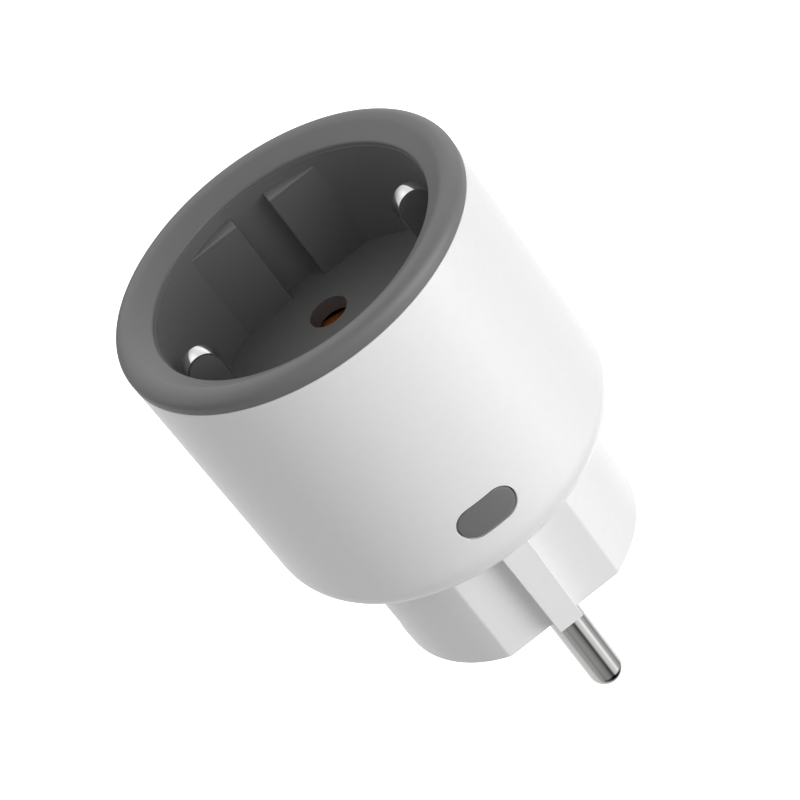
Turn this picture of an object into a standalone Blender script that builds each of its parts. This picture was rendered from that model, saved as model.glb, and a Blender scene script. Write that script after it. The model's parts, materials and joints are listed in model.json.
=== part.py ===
"""Smart plug: a switched adapter that goes between a wall socket and an appliance's plug.

The Z axis is the plug's axis. The pins point down and the socket well opens upwards. The origin is
the middle of the plug base's end face. The two pins lie on the Y axis, the side earth contacts on
the X axis, and the button faces -Y. Lengths are in millimetres; MM turns them into metres.
"""

import math

import bmesh
import bpy
from mathutils import Matrix, Vector

MM = 0.001
SIDES = (1, -1)
GAP = 0.3

# Plug base and pins
PIN_RADIUS = 2.4
PIN_LENGTH = 19.5
PIN_OFFSET = 9.5
PLUG_RADIUS = 17.93
PLUG_FLAT = 15.7
PLUG_WALL_END = 3.0
EARTH_RECESS_HALF_WIDTH = 3.0
RIB_FACE = 18.0
RIB_HALF_WIDTH_LOW = 1.87
RIB_HALF_WIDTH_HIGH = 2.1
CAVITY_RADIUS = 14.2
CAVITY_FLAT = 13.7
PIN_BOSS_RADIUS = 4.3
PIN_BOSS_TOP = 9.0
FLANGE_RADIUS = 19.9
FLANGE_BOTTOM = 20.4
FLANGE_TOP = 21.9
STANDOFF_CIRCLE = 17.5
STANDOFF_RADIUS = 1.5

# Housing
HOUSING_RADIUS = 24.6
HOUSING_TOP_RADIUS = 24.45
HOUSING_WALL = 1.8
HOUSING_BOTTOM = 18.25
HOUSING_FILLET = 5.35
NECK_HOLE_RADIUS = 18.25

# Socket insert
RIM_HEIGHT = 60.8
BAND_HEIGHT = 2.35
FACE_FILLET = 1.55
LIP_HEIGHT = 59.05
LIP_SLOPE = 31.5
CREST_RADIUS = 2.4
WELL_RADIUS = 19.4
WELL_WALL = 1.5
FLOOR_TOP = 43.0
FLOOR_THICKNESS = 2.3
SPIGOT_RADIUS = 22.3
SPIGOT_BOTTOM = 54.5
GUIDE_FACE = 16.75
GUIDE_TOP = 57.0
CHANNEL_HALF_WIDTH = 2.6
PIN_HOLE_RADIUS = 2.9
EARTH_CLIP_BEND_HEIGHT = 54.05
EARTH_CLIP_MIDDLE = 16.3
EARTH_CLIP_BEND = 2.3
EARTH_CLIP_THICKNESS = 0.4
EARTH_CLIP_HALF_WIDTH = 1.2
EARTH_SLOT_NEAR = 18.15
EARTH_SLOT_FAR = 19.05

# Shutter and contacts
ROTOR_BOTTOM = 38.6
ROTOR_TOP = 40.0
WING_RADIUS = 13.0
WING_HALF_ANGLE = math.radians(20)
PIVOT_RADIUS = 1.5
CARRIER_RADIUS = 16.5
CARRIER_BOTTOM = 36.8
CARRIER_TOP = 38.3
POCKET_RADIUS = 3.1
POCKET_BOTTOM = 35.3
POCKET_WALL = 1.1
CARRIER_SCREW_X = 12.0
SLEEVE_RADIUS = 3.0
SLEEVE_BORE = 2.5
SLEEVE_BOTTOM = 24.9
SLEEVE_TOP = 36.5

# Circuit boards
BOARD_RADIUS = 22.2
BOARD_BOTTOM = 23.3
BOARD_TOP = 24.7
PARTS_BOTTOM = BOARD_TOP + GAP
PARTS_TOP = CARRIER_BOTTOM - GAP

# Button
BUTTON_HEIGHT = 28.23
BUTTON_HOLE_HALF_LENGTH = 4.3
BUTTON_HOLE_HALF_HEIGHT = 2.45
BUTTON_FACE_RADIUS = 24.5
BUTTON_LUG_HALF_LENGTH = 5.0
BUTTON_LUG_BELOW = 2.9
BUTTON_LUG_ABOVE = 3.3

ROUND_STEPS = 60
SMALL_STEPS = 24


# ---------------------------------------------------------------- materials and objects


def clear_scene():
    for obj in list(bpy.data.objects):
        bpy.data.objects.remove(obj, do_unlink=True)


def material(name, colour, roughness, metallic=0.0):
    made = bpy.data.materials.new(name)
    made.use_nodes = True
    shader = made.node_tree.nodes["Principled BSDF"]
    shader.inputs["Base Color"].default_value = (*colour, 1.0)
    shader.inputs["Roughness"].default_value = roughness
    shader.inputs["Metallic"].default_value = metallic
    return made


def place(name, shape, origin=(0, 0, 0)):
    """An object made from a mesh in millimetres, with its own origin at the given point."""
    shift = Matrix.Translation(-Vector(origin))
    bmesh.ops.transform(shape, matrix=Matrix.Scale(MM, 4) @ shift, verts=shape.verts)
    bmesh.ops.recalc_face_normals(shape, faces=shape.faces)
    mesh = bpy.data.meshes.new(name)
    shape.to_mesh(mesh)
    shape.free()
    mesh.shade_smooth()
    mesh.set_sharp_from_angle(angle=math.radians(35))
    obj = bpy.data.objects.new(name, mesh)
    obj.location = Vector(origin) * MM
    bpy.context.scene.collection.objects.link(obj)
    return obj


def part(name, shape, finish, origin=(0, 0, 0)):
    obj = place(name, shape, origin)
    obj.data.materials.append(finish)
    return obj


def combine(target, operation, tools):
    """Adds, cuts or intersects each tool shape with a Boolean modifier on the target."""
    for number, shape in enumerate(tools):
        label = f"{target.name}_{operation.lower()}_{len(target.modifiers)}_{number}"
        tool = place(label, shape)
        tool.hide_render = True
        tool.display_type = "WIRE"
        modifier = target.modifiers.new(label, "BOOLEAN")
        modifier.operation = operation
        modifier.solver = "EXACT"
        modifier.object = tool


def add(target, *tools):
    combine(target, "UNION", tools)


def cut(target, *tools):
    combine(target, "DIFFERENCE", tools)


# ---------------------------------------------------------------- shapes


def arc(centre, radius, start, end, steps):
    """Points on a circle from one angle to another, in degrees."""
    points = []
    for step in range(steps + 1):
        angle = math.radians(start + (end - start) * step / steps)
        points.append((centre[0] + radius * math.cos(angle), centre[1] + radius * math.sin(angle)))
    return points


def lathe(profile, closed=True, steps=ROUND_STEPS, centre=(0, 0)):
    """Turns (radius, height) points about a vertical axis. An open profile starts and ends on it."""
    shape = bmesh.new()
    verts = [shape.verts.new((radius, 0, height)) for radius, height in profile]
    pairs = list(zip(verts, verts[1:]))
    if closed:
        pairs.append((verts[-1], verts[0]))
    edges = [shape.edges.new(pair) for pair in pairs]
    bmesh.ops.spin(
        shape, geom=verts + edges, axis=(0, 0, 1), cent=(0, 0, 0), steps=steps, angle=math.tau
    )
    bmesh.ops.remove_doubles(shape, verts=shape.verts, dist=1e-3)
    bmesh.ops.translate(shape, vec=(centre[0], centre[1], 0), verts=shape.verts)
    return shape


def turn(shape, axis, degrees, about=(0, 0, 0)):
    matrix = Matrix.Rotation(math.radians(degrees), 3, axis)
    bmesh.ops.rotate(shape, cent=about, matrix=matrix, verts=shape.verts)
    return shape


def on_side(shape, side):
    """Leaves a shape on the +X side, or takes it to the -X side."""
    if side < 0:
        turn(shape, "Z", 180)
    return shape


def prism(outline, low, high, axis="Z"):
    """Extrudes an outline. Its points are (x, y) for Z, (x, z) for Y and (y, z) for X."""
    places = {
        "Z": lambda a, b: (a, b, low),
        "Y": lambda a, b: (a, low, b),
        "X": lambda a, b: (low, a, b),
    }
    shape = bmesh.new()
    verts = [shape.verts.new(places[axis](a, b)) for a, b in outline]
    face = shape.faces.new(verts)
    grown = bmesh.ops.extrude_face_region(shape, geom=[face])
    moved = [item for item in grown["geom"] if isinstance(item, bmesh.types.BMVert)]
    way = {"Z": (0, 0, 1), "Y": (0, 1, 0), "X": (1, 0, 0)}[axis]
    bmesh.ops.translate(shape, vec=Vector(way) * (high - low), verts=moved)
    return shape


def box(x, y, z, bevel=0.0):
    """A block between the given pairs of limits, with its edges rounded off if asked."""
    shape = bmesh.new()
    bmesh.ops.create_cube(shape, size=1.0)
    size = Matrix.Diagonal((x[1] - x[0], y[1] - y[0], z[1] - z[0], 1.0))
    middle = Matrix.Translation(((x[0] + x[1]) / 2, (y[0] + y[1]) / 2, (z[0] + z[1]) / 2))
    bmesh.ops.transform(shape, matrix=middle @ size, verts=shape.verts)
    if bevel:
        bmesh.ops.bevel(
            shape, geom=list(shape.edges), offset=bevel, segments=2, profile=0.5, affect="EDGES"
        )
    return shape


def rod(centre, radius, low, high, axis="Z", steps=SMALL_STEPS):
    """A cylinder along an axis, its centre given by the two other coordinates."""
    return prism(arc(centre, radius, 0, 360 - 360 / steps, steps - 1), low, high, axis)


def tube(centre, radius, bore, low, high, steps=SMALL_STEPS):
    profile = [(radius, high), (radius, low), (bore, low), (bore, high)]
    return lathe(profile, steps=steps, centre=centre)


def stadium(half_length, half_height, middle, steps=10):
    """An outline with straight long sides and round ends."""
    reach = half_length - half_height
    right = arc((reach, middle), half_height, -90, 90, steps)
    left = arc((-reach, middle), half_height, 90, 270, steps)
    return right + left


def strip(path, thickness):
    """The outline of bent sheet metal whose middle follows a path of points."""
    points = [Vector(point) for point in path]
    sides = ([], [])
    for index, point in enumerate(points):
        before = points[max(index - 1, 0)]
        after = points[min(index + 1, len(points) - 1)]
        arriving = (point - before if index else after - point).normalized()
        leaving = (after - point if index < len(points) - 1 else point - before).normalized()
        way = (arriving + leaving).normalized()
        across = Vector((-way.y, way.x)) * (thickness / 2) / max(way.dot(leaving), 0.5)
        sides[0].append(tuple(point + across))
        sides[1].append(tuple(point - across))
    return sides[0] + sides[1][::-1]


def flattened_circle(radius, flat, steps=16):
    """A circle cut off by two flats that face +Y and -Y."""
    corner = math.degrees(math.asin(flat / radius))
    right = arc((0, 0), radius, -corner, corner, steps)
    left = arc((0, 0), radius, 180 - corner, 180 + corner, steps)
    return right + left


# ---------------------------------------------------------------- outer pieces


def make_housing(finish):
    fillet_height = HOUSING_BOTTOM + HOUSING_FILLET
    fillet_middle = (HOUSING_RADIUS - HOUSING_FILLET, fillet_height)
    top = RIM_HEIGHT - BAND_HEIGHT - GAP
    inner_fillet = HOUSING_FILLET - HOUSING_WALL
    profile = [(HOUSING_TOP_RADIUS, top)]
    profile += arc(fillet_middle, HOUSING_FILLET, 0, -90, 7)
    profile += [(NECK_HOLE_RADIUS, HOUSING_BOTTOM), (NECK_HOLE_RADIUS, HOUSING_BOTTOM + HOUSING_WALL)]
    profile += arc(fillet_middle, inner_fillet, -90, 0, 4)
    profile += [(HOUSING_TOP_RADIUS - HOUSING_WALL, top)]
    housing = part("housing_shell", lathe(profile), finish)
    opening = stadium(BUTTON_HOLE_HALF_LENGTH, BUTTON_HOLE_HALF_HEIGHT, BUTTON_HEIGHT)
    cut(housing, prism(opening, -HOUSING_RADIUS - 2, -HOUSING_RADIUS + 5, "Y"))


def guide_rib(side):
    """A rib down the middle of a flat, a little wider towards the housing."""
    shape = box((-1, 1), (13.9, RIB_FACE), (0, HOUSING_BOTTOM))
    for vert in shape.verts:
        high = vert.co.z > 1
        vert.co.x *= RIB_HALF_WIDTH_HIGH if high else RIB_HALF_WIDTH_LOW
    return on_side(shape, side)


def make_plug_base(finish):
    outline = flattened_circle(PLUG_RADIUS, PLUG_FLAT)
    base = part("plug_base", prism(outline, 0, HOUSING_BOTTOM + 0.5), finish)
    neck_radius = NECK_HOLE_RADIUS - GAP
    neck = [(0, FLANGE_TOP), (FLANGE_RADIUS, FLANGE_TOP), (FLANGE_RADIUS, FLANGE_BOTTOM)]
    neck += [(neck_radius, FLANGE_BOTTOM), (neck_radius, HOUSING_BOTTOM), (0, HOUSING_BOTTOM)]
    add(base, lathe(neck, closed=False), *[guide_rib(side) for side in SIDES])
    for standoff_at in arc((0, 0), STANDOFF_CIRCLE, 45, 315, 3):
        add(base, rod(standoff_at, STANDOFF_RADIUS, FLANGE_TOP - 0.5, BOARD_BOTTOM - GAP, steps=12))
    cut(base, prism(flattened_circle(CAVITY_RADIUS, CAVITY_FLAT), PLUG_WALL_END, FLANGE_TOP + 1))
    for side in SIDES:
        pin_at = (0, side * PIN_OFFSET)
        add(base, rod(pin_at, PIN_BOSS_RADIUS, PLUG_WALL_END - 0.5, PIN_BOSS_TOP))
        cut(base, rod(pin_at, PIN_RADIUS + GAP, -1, PIN_BOSS_TOP + 1))
        recess = [(15.7, 2.2), (20, 2.2), (20, HOUSING_BOTTOM), (17.1, HOUSING_BOTTOM)]
        recess += [(17.1, FLANGE_TOP + 1), (15.7, FLANGE_TOP + 1)]
        half_width = EARTH_RECESS_HALF_WIDTH
        cut(base, on_side(prism(recess, -half_width, half_width, "Y"), side))


def guide_block(quarter_turn, side):
    """One half of a guide block: the wall beside the channel, filled out to a flat face."""
    radius = WELL_RADIUS + 0.8
    start = math.degrees(math.asin(GUIDE_FACE / radius))
    end = math.degrees(math.acos(CHANNEL_HALF_WIDTH / radius))
    outline = [(CHANNEL_HALF_WIDTH, GUIDE_FACE)] + arc((0, 0), radius, start, end, 5)
    shape = prism(outline, FLOOR_TOP - 0.5, GUIDE_TOP)
    if side < 0:
        bmesh.ops.scale(shape, vec=(-1, 1, 1), verts=shape.verts)
    return turn(shape, "Z", quarter_turn)


def earth_post(side):
    """The tongue that backs an earth spring, with a round top."""
    half = EARTH_CLIP_BEND - EARTH_CLIP_THICKNESS / 2 - GAP
    top = arc((EARTH_CLIP_MIDDLE, EARTH_CLIP_BEND_HEIGHT), half, 0, 180, 8)
    outline = [(EARTH_CLIP_MIDDLE + half, FLOOR_TOP - 0.5)] + top
    outline += [(EARTH_CLIP_MIDDLE - half, FLOOR_TOP - 0.5)]
    return on_side(prism(outline, -EARTH_CLIP_HALF_WIDTH, EARTH_CLIP_HALF_WIDTH, "Y"), side)


def make_socket_insert(finish):
    floor_bottom = FLOOR_TOP - FLOOR_THICKNESS
    wall_outside = WELL_RADIUS + WELL_WALL
    face_middle = (HOUSING_TOP_RADIUS - FACE_FILLET, RIM_HEIGHT - FACE_FILLET)
    crest_middle = (face_middle[0], RIM_HEIGHT - CREST_RADIUS)
    band_bottom = RIM_HEIGHT - BAND_HEIGHT
    profile = [(0, FLOOR_TOP), (WELL_RADIUS, FLOOR_TOP), (WELL_RADIUS, LIP_HEIGHT)]
    profile += arc(crest_middle, CREST_RADIUS, 90 + LIP_SLOPE, 90, 4)
    profile += arc(face_middle, FACE_FILLET, 90, 0, 5)[1:]
    profile += [(HOUSING_TOP_RADIUS, band_bottom), (SPIGOT_RADIUS, band_bottom)]
    profile += [(SPIGOT_RADIUS, SPIGOT_BOTTOM), (wall_outside, SPIGOT_BOTTOM - 1)]
    profile += [(wall_outside, floor_bottom), (0, floor_bottom)]
    insert = part("socket_insert", lathe(profile, closed=False), finish)
    for quarter_turn in (0, 180):
        add(insert, *[guide_block(quarter_turn, side) for side in SIDES])
    for side in SIDES:
        add(insert, earth_post(side))
        boss_at = (side * CARRIER_SCREW_X, 0)
        add(insert, rod(boss_at, 2.4, CARRIER_TOP + GAP, floor_bottom + 0.5))
        cut(insert, rod(boss_at, 1.3, CARRIER_TOP, FLOOR_TOP - 0.9, steps=12))
        cut(insert, rod((0, side * PIN_OFFSET), PIN_HOLE_RADIUS, floor_bottom - 1, FLOOR_TOP + 1, steps=32))
        slot = box((EARTH_SLOT_NEAR, EARTH_SLOT_FAR), (-1.6, 1.6), (floor_bottom - 1, FLOOR_TOP + 0.5))
        cut(insert, on_side(slot, side))


# ---------------------------------------------------------------- pins and earth


def make_pins(finish):
    tip = arc((0, -PIN_LENGTH + PIN_RADIUS), PIN_RADIUS, -90, 0, 6)
    collar = PIN_BOSS_TOP + GAP
    profile = tip + [(PIN_RADIUS, collar), (3.4, collar), (3.4, collar + 1.2)]
    profile += [(1.6, collar + 1.2), (1.6, collar + 2.7), (0, collar + 2.7)]
    for name, side in (("pin_line", -1), ("pin_neutral", 1)):
        part(name, lathe(profile, closed=False, steps=SMALL_STEPS, centre=(0, side * PIN_OFFSET)), finish)


def make_earth_parts(finish):
    for name, side in (("right", 1), ("left", -1)):
        middle = (EARTH_CLIP_MIDDLE, EARTH_CLIP_BEND_HEIGHT)
        path = [(EARTH_CLIP_MIDDLE + EARTH_CLIP_BEND, FLANGE_TOP + 0.4)]
        path += arc(middle, EARTH_CLIP_BEND, 0, 180, 10)
        inner = EARTH_CLIP_MIDDLE - EARTH_CLIP_BEND
        path += [(inner, 51.5), (inner + 0.3, 47.5)]
        outline = strip(path, EARTH_CLIP_THICKNESS)
        clip = prism(outline, -EARTH_CLIP_HALF_WIDTH, EARTH_CLIP_HALF_WIDTH, "Y")
        part(f"earth_clip_{name}", on_side(clip, side), finish)
        path = [(16.4, 25.3), (16.4, 16.5), (16.75, 14.0), (16.75, 6.0), (16.4, 3.2)]
        contact = prism(strip(path, 0.8), -2.7, 2.7, "Y")
        part(f"plug_earth_contact_{name}", on_side(contact, side), finish)
    path = [(-15.3, 24.6), (-15.3, 22.6), (15.3, 22.6), (15.3, 24.6)]
    part("earth_bridge", prism(strip(path, 0.8), -2.5, 2.5, "Y"), finish)


# ---------------------------------------------------------------- shutter and contacts


def make_shutter(finish):
    middle = (ROTOR_BOTTOM + ROTOR_TOP) / 2
    hub = tube((0, 0), 3.4, PIVOT_RADIUS + 0.1, ROTOR_BOTTOM, ROTOR_TOP)
    rotor = part("shutter_rotor", hub, finish, origin=(0, 0, middle))
    for half_turn in (0, 180):
        spread = math.degrees(WING_HALF_ANGLE)
        outline = arc((0, 0), WING_RADIUS, 90 - spread, 90 + spread, 8) + [(-1.6, 2.3), (1.6, 2.3)]
        add(rotor, turn(prism(outline, ROTOR_BOTTOM, ROTOR_TOP), "Z", half_turn))
        ramp = turn(box((-12, 12), (4.5, 14), (0, 5)), "Y", 8)
        bmesh.ops.translate(ramp, vec=(0, 0, ROTOR_TOP - 0.3), verts=ramp.verts)
        cut(rotor, turn(ramp, "Z", half_turn))


def make_spring(finish):
    """A coil round the pivot, in the carrier's pocket."""
    turns, per_turn, low, high = 3, 12, POCKET_BOTTOM + 0.4, ROTOR_BOTTOM - 0.7
    curve = bpy.data.curves.new("shutter_spring", "CURVE")
    curve.dimensions = "3D"
    curve.bevel_depth = 0.28 * MM
    curve.bevel_resolution = 1
    curve.use_fill_caps = True
    spline = curve.splines.new("POLY")
    spline.points.add(turns * per_turn)
    for index, point in enumerate(spline.points):
        part_way = index / (turns * per_turn)
        angle = part_way * turns * math.tau
        height = low + (high - low) * part_way
        point.co = (2.3 * MM * math.cos(angle), 2.3 * MM * math.sin(angle), height * MM, 1)
    curve.materials.append(finish)
    bpy.context.scene.collection.objects.link(bpy.data.objects.new("shutter_spring", curve))


def make_carrier(finish):
    cup_radius = POCKET_RADIUS + POCKET_WALL
    cup_bottom = POCKET_BOTTOM - POCKET_WALL
    profile = [(0, ROTOR_TOP - 0.1), (PIVOT_RADIUS, ROTOR_TOP - 0.1), (PIVOT_RADIUS, POCKET_BOTTOM)]
    profile += [(POCKET_RADIUS, POCKET_BOTTOM), (POCKET_RADIUS, CARRIER_TOP), (CARRIER_RADIUS, CARRIER_TOP)]
    profile += [(CARRIER_RADIUS, CARRIER_BOTTOM), (cup_radius, CARRIER_BOTTOM)]
    profile += [(cup_radius, cup_bottom), (0, cup_bottom)]
    carrier = part("contact_carrier", lathe(profile, closed=False, steps=36), finish)
    for side in SIDES:
        pin_at = (0, side * PIN_OFFSET)
        add(carrier, tube(pin_at, SLEEVE_RADIUS + 1.3, SLEEVE_RADIUS + 0.4, 31.5, CARRIER_BOTTOM + 0.4))
        cut(carrier, rod(pin_at, 2.8, CARRIER_BOTTOM - 1, CARRIER_TOP + 1))
        screw_at = (side * CARRIER_SCREW_X, 0)
        hole = [(0, CARRIER_TOP + 1), (1.3, CARRIER_TOP + 1), (1.3, CARRIER_BOTTOM + 1)]
        hole += [(2.4, CARRIER_BOTTOM - 0.1), (0, CARRIER_BOTTOM - 0.1)]
        cut(carrier, lathe(hole, closed=False, steps=16, centre=screw_at))


def make_carrier_screws(finish):
    low = CARRIER_BOTTOM + 0.1
    profile = [(0, 41.8), (0.7, 41.8), (1.0, 41.4), (1.0, low + 0.95), (1.95, low), (0, low)]
    for name, side in (("right", 1), ("left", -1)):
        at = side * CARRIER_SCREW_X
        screw = part(
            f"carrier_screw_{name}", lathe(profile, closed=False, steps=16, centre=(at, 0)), finish
        )
        cut(screw, box((at - 0.25, at + 0.25), (-3, 3), (low - 1, low + 0.5)))


def make_sleeves(finish):
    for name, side in (("line", -1), ("neutral", 1)):
        pin_at = (0, side * PIN_OFFSET)
        shape = tube(pin_at, SLEEVE_RADIUS, SLEEVE_BORE, SLEEVE_BOTTOM, SLEEVE_TOP)
        sleeve = part(f"contact_sleeve_{name}", shape, finish)
        middle = side * PIN_OFFSET
        cut(sleeve, box((-5, 5), (middle - 0.4, middle + 0.4), (28.5, SLEEVE_TOP + 1)))


def make_busbars(finish):
    tab = PIN_BOSS_TOP + 3.7
    path = [(7.0, tab), (13.05, tab), (13.05, 31.0)]
    part("busbar_neutral", prism(strip(path, 0.6), -2.0, 2.0, "X"), finish)
    path = [(-2.0, tab), (5.8, tab), (5.8, BOARD_BOTTOM - 0.4)]
    part("busbar_line", prism(strip(path, 0.6), -PIN_OFFSET - 2, -PIN_OFFSET + 2, "Y"), finish)
    path = [(3.5, 29.5), (4.6, 29.5), (4.6, PARTS_BOTTOM + 0.2)]
    part("busbar_switched", prism(strip(path, 0.6), -PIN_OFFSET - 1.5, -PIN_OFFSET + 1.5, "Y"), finish)


# ---------------------------------------------------------------- electronics


def make_main_board(finish):
    board = part("main_board", rod((0, 0), BOARD_RADIUS, BOARD_BOTTOM, BOARD_TOP, steps=48), finish)
    low, high = BOARD_BOTTOM - 1, BOARD_TOP + 1
    for side in SIDES:
        cut(board, rod((0, side * PIN_OFFSET), 2.9, low, high))
        cut(board, on_side(box((14.5, 24), (-3.1, 3.1), (low, high)), side))
    cut(board, box((-2.3, 2.3), (11.5, 13.7), (low, high)))


def make_power_parts(finishes):
    low, high = PARTS_BOTTOM, PARTS_TOP
    part("relay", box((5.3, 15.4), (-14.2, 14.2), (low, high), bevel=0.4), finishes["relay"])
    part("film_capacitor", box((-13.4, -5.4), (10.8, 15.8), (low, 35), bevel=0.4), finishes["film"])
    can = [(0, 35.5), (2.0, 35.5), (2.5, 35.1), (2.5, 27.2), (2.2, 26.8), (2.5, 26.4), (2.5, low), (0, low)]
    for number, side in ((1, 1), (2, -1)):
        shape = lathe(can, closed=False, steps=SMALL_STEPS, centre=(-7.6, side * 4.0))
        part(f"smoothing_capacitor_{number}", shape, finishes["can"])
    disc = [(0, -1.7), (3.6, -1.7), (4.2, -1.1), (4.2, 1.1), (3.6, 1.7), (0, 1.7)]
    varistor = turn(lathe(disc[::-1], closed=False, steps=SMALL_STEPS), "X", 90)
    bmesh.ops.translate(varistor, vec=(-9.6, -12.1, 29.6), verts=varistor.verts)
    part("varistor", varistor, finishes["varistor"])
    drum = [(0, 29.8), (3.3, 29.8), (3.3, 29.0), (2.7, 28.8), (2.7, 26.0), (3.3, 25.8), (3.3, low), (0, low)]
    part("choke", lathe(drum, closed=False, steps=SMALL_STEPS, centre=(0.4, 0)), finishes["ferrite"])
    bone = [(0, 4.4), (0.4, 4.4), (0.4, 3.4), (1.5, 3.1), (1.5, 1.9), (1.25, 1.5)]
    bone += [(radius, -height) for radius, height in bone[::-1]]
    resistor = turn(lathe(bone, closed=False, steps=16), "Y", 90)
    bmesh.ops.translate(resistor, vec=(0, 0, 32.2), verts=resistor.verts)
    part("fusible_resistor", resistor, finishes["resistor"])
    part("bridge_rectifier", box((-2.4, 2.4), (15.0, 18.6), (low, 27), bevel=0.2), finishes["chip"])
    part("converter_chip", box((-10.0, -5.5), (16.4, 19.2), (low, 26.5), bevel=0.2), finishes["chip"])
    part("metering_chip", box((8.2, 12.4), (15.0, 17.8), (low, 26.5), bevel=0.2), finishes["chip"])
    path = [(-10.6, low + 0.4), (-9.4, low + 0.4), (-9.0, 25.9), (-6.4, 25.9), (-6.0, low + 0.4), (-4.8, low + 0.4)]
    part("shunt_resistor", prism(strip(path, 0.6), -18.4, -16.4, "Y"), finishes["nickel"])


def make_control_parts(finishes):
    low, high = PARTS_BOTTOM, PARTS_TOP
    part("control_board", box((-9, 9), (-15.6, -14.6), (low, high)), finishes["board"])
    half = 3.0
    heights = (BUTTON_HEIGHT - half, BUTTON_HEIGHT + half)
    switch = part("switch_body", box((-half, half), (-19.0, -15.9), heights, bevel=0.2), finishes["chip"])
    centre = (0, BUTTON_HEIGHT)
    cut(switch, rod(centre, 2.0, -20.0, -17.3, "Y"))
    plunger = rod(centre, 1.7, -20.0, -18.2, "Y")
    part("switch_plunger", plunger, finishes["plunger"], origin=(0, -20.0, BUTTON_HEIGHT))
    led = box((4.0, 5.6), (-16.8, -15.9), (BUTTON_HEIGHT - 0.8, BUTTON_HEIGHT + 0.8), bevel=0.15)
    part("status_led", led, finishes["led"])
    part("radio_board", box((-14.6, -13.6), (-9, 9), (low, high)), finishes["board"])
    part("radio_shield", box((-13.3, -10.9), (-6.5, 5.5), (26.5, 36), bevel=0.3), finishes["nickel"])


# ---------------------------------------------------------------- button


def make_button(finish):
    half_length = BUTTON_HOLE_HALF_LENGTH - GAP
    half_height = BUTTON_HOLE_HALF_HEIGHT - GAP
    front = -BUTTON_FACE_RADIUS - 0.5
    shape = prism(stadium(half_length, half_height, BUTTON_HEIGHT), front, -21.3, "Y")
    at = (0, -BUTTON_FACE_RADIUS, BUTTON_HEIGHT)
    button = part("button_cap", shape, finish, origin=at)
    whole_round = rod((0, 0), BUTTON_FACE_RADIUS, BUTTON_HEIGHT - 6, BUTTON_HEIGHT + 6, steps=128)
    combine(button, "INTERSECT", [whole_round])
    length = (-BUTTON_LUG_HALF_LENGTH, BUTTON_LUG_HALF_LENGTH)
    heights = (BUTTON_HEIGHT - BUTTON_LUG_BELOW, BUTTON_HEIGHT + BUTTON_LUG_ABOVE)
    add(button, box(length, (-21.7, -20.9), heights))
    add(button, rod((0, BUTTON_HEIGHT), 1.0, -21.3, -20.3, "Y", steps=16))


def make_button_guide(finish):
    """A frame, open at the bottom, that the button's lugs slide in, on two legs."""
    high = BUTTON_HEIGHT + BUTTON_LUG_ABOVE
    guide = part("button_guide", box((-7.2, 7.2), (-21.2, -19.4), (PARTS_BOTTOM, high + 1.9)), finish)
    for side in SIDES:
        leg_width = sorted((side * 6.2, side * 7.2))
        add(guide, box(leg_width, (-19.8, -15.9), (BUTTON_HEIGHT - 2, BUTTON_HEIGHT + 2)))
    reach = BUTTON_LUG_HALF_LENGTH + GAP
    cut(guide, box((-reach, reach), (-22, -19), (PARTS_BOTTOM - 1, high + GAP)))


def main():
    clear_scene()
    white = material("white_plastic", (0.86, 0.86, 0.86), 0.35)
    dark = material("dark_grey_plastic", (0.17, 0.17, 0.17), 0.55)
    black = material("black_plastic", (0.03, 0.03, 0.03), 0.5)
    nickel = material("nickel", (0.72, 0.71, 0.69), 0.2, 1.0)
    brass = material("brass", (0.80, 0.62, 0.30), 0.3, 1.0)
    orange = material("orange_plastic", (0.75, 0.22, 0.05), 0.45)
    steel = material("spring_steel", (0.5, 0.5, 0.52), 0.35, 1.0)
    clear = material("clear_plastic", (0.85, 0.87, 0.88), 0.3)
    electronics = {
        "board": material("circuit_board", (0.03, 0.18, 0.08), 0.4),
        "relay": material("relay_blue", (0.05, 0.16, 0.42), 0.4),
        "film": material("film_capacitor_yellow", (0.72, 0.52, 0.10), 0.45),
        "can": material("capacitor_sleeve", (0.04, 0.05, 0.10), 0.35),
        "varistor": material("varistor_blue", (0.06, 0.22, 0.50), 0.4),
        "ferrite": material("ferrite", (0.09, 0.08, 0.08), 0.7),
        "resistor": material("resistor_green", (0.12, 0.32, 0.20), 0.5),
        "chip": material("chip_epoxy", (0.04, 0.04, 0.045), 0.6),
        "plunger": material("plunger_black", (0.05, 0.05, 0.05), 0.5),
        "led": material("led_clear", (0.85, 0.85, 0.78), 0.2),
        "nickel": material("tinned_metal", (0.70, 0.70, 0.72), 0.35, 1.0),
    }
    make_housing(white)
    make_plug_base(white)
    make_socket_insert(dark)
    make_pins(nickel)
    make_earth_parts(nickel)
    make_shutter(orange)
    make_spring(steel)
    make_carrier(black)
    make_carrier_screws(steel)
    make_sleeves(brass)
    make_busbars(brass)
    make_main_board(electronics["board"])
    make_power_parts(electronics)
    make_control_parts(electronics)
    make_button(dark)
    make_button_guide(clear)


main()
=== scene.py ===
import json
import math

import bmesh
import bpy
from mathutils import Matrix, Quaternion, Vector


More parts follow.
